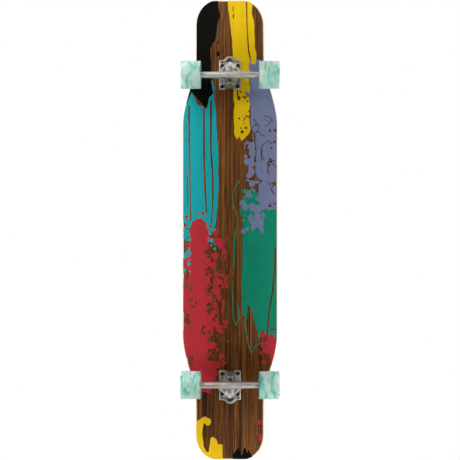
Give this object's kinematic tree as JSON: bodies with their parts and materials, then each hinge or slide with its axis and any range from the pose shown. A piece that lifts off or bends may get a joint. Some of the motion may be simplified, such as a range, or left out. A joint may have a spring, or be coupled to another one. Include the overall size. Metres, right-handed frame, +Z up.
{
  "type": "skateboard",
  "caption": "Dance longboard: a long necked deck with upturned ends, patterned grip sheets, reverse-kingpin trucks and wide soft wheels.",
  "frame": {"origin": "on the ground under the middle of the deck, with the board standing on its wheels", "axes": "+X towards the nose, +Y to the rider's left, +Z up"},
  "size_m": [1.22, 0.25, 0.1304],
  "materials": {
    "deck_wood": "satin lacquer",
    "grip_tape": "coarse abrasive",
    "black_steel": "black oxide",
    "cast_aluminium": "satin cast",
    "zinc_steel": "zinc plated",
    "pivot_cup_plastic": "matt",
    "bushing_urethane": "smooth",
    "wheel_urethane": "smooth with pale swirls",
    "bearing_steel": "polished"
  },
  "bodies": {
    "board": {"deck": "deck_wood", "nose_grip_sheet": "grip_tape", "tail_grip_sheet": "grip_tape", "nose_grip_band": "grip_tape", "tail_grip_band": "grip_tape", "right_grip_strip": "grip_tape", "left_grip_strip": "grip_tape", "front_truck_bolt_1": "black_steel", "front_truck_nut_1": "black_steel", "front_truck_bolt_2": "black_steel", "front_truck_nut_2": "black_steel", "front_truck_bolt_3": "black_steel", "front_truck_nut_3": "black_steel", "front_truck_bolt_4": "black_steel", "front_truck_nut_4": "black_steel", "front_baseplate": "cast_aluminium", "front_pivot_cup": "pivot_cup_plastic", "front_kingpin": "zinc_steel", "front_kingpin_nut": "zinc_steel", "front_board_washer": "zinc_steel", "front_road_washer": "zinc_steel", "front_board_bushing": "bushing_urethane", "front_road_bushing": "bushing_urethane", "rear_truck_bolt_1": "black_steel", "rear_truck_nut_1": "black_steel", "rear_truck_bolt_2": "black_steel", "rear_truck_nut_2": "black_steel", "rear_truck_bolt_3": "black_steel", "rear_truck_nut_3": "black_steel", "rear_truck_bolt_4": "black_steel", "rear_truck_nut_4": "black_steel", "rear_baseplate": "cast_aluminium", "rear_pivot_cup": "pivot_cup_plastic", "rear_kingpin": "zinc_steel", "rear_kingpin_nut": "zinc_steel", "rear_board_washer": "zinc_steel", "rear_road_washer": "zinc_steel", "rear_board_bushing": "bushing_urethane", "rear_road_bushing": "bushing_urethane"},
    "front_axle_set": {"front_hanger": "cast_aluminium", "front_axle": "zinc_steel", "front_left_axle_nut": "zinc_steel", "front_right_axle_nut": "zinc_steel"},
    "rear_axle_set": {"rear_hanger": "cast_aluminium", "rear_axle": "zinc_steel", "rear_left_axle_nut": "zinc_steel", "rear_right_axle_nut": "zinc_steel"},
    "front_left_roller": {"front_left_wheel": "wheel_urethane", "front_left_outer_bearing": "bearing_steel", "front_left_inner_bearing": "bearing_steel"},
    "front_right_roller": {"front_right_wheel": "wheel_urethane", "front_right_outer_bearing": "bearing_steel", "front_right_inner_bearing": "bearing_steel"},
    "rear_left_roller": {"rear_left_wheel": "wheel_urethane", "rear_left_outer_bearing": "bearing_steel", "rear_left_inner_bearing": "bearing_steel"},
    "rear_right_roller": {"rear_right_wheel": "wheel_urethane", "rear_right_outer_bearing": "bearing_steel", "rear_right_inner_bearing": "bearing_steel"}
  },
  "joints": [
    {"name": "front_steer", "type": "hinge", "parent": "board", "child": "front_axle_set", "pos_m": [0.4085, 0, 0.071], "axis": [0.866, 0, 0.5], "range_deg": [-15, 15], "stiffness_Nm_per_rad": 40, "deforming": ["front_board_bushing", "front_road_bushing"]},
    {"name": "rear_steer", "type": "hinge", "parent": "board", "child": "rear_axle_set", "pos_m": [-0.4085, 0, 0.071], "axis": [0.866, 0, -0.5], "range_deg": [-15, 15], "stiffness_Nm_per_rad": 40, "deforming": ["rear_board_bushing", "rear_road_bushing"]},
    {"name": "front_left_spin", "type": "hinge", "parent": "front_axle_set", "child": "front_left_roller", "pos_m": [0.3952, 0.0995, 0.035], "axis": [0, 1, 0], "continuous": true},
    {"name": "front_right_spin", "type": "hinge", "parent": "front_axle_set", "child": "front_right_roller", "pos_m": [0.3952, -0.0995, 0.035], "axis": [0, 1, 0], "continuous": true},
    {"name": "rear_left_spin", "type": "hinge", "parent": "rear_axle_set", "child": "rear_left_roller", "pos_m": [-0.3952, 0.0995, 0.035], "axis": [0, 1, 0], "continuous": true},
    {"name": "rear_right_spin", "type": "hinge", "parent": "rear_axle_set", "child": "rear_right_roller", "pos_m": [-0.3952, -0.0995, 0.035], "axis": [0, 1, 0], "continuous": true}
  ]
}
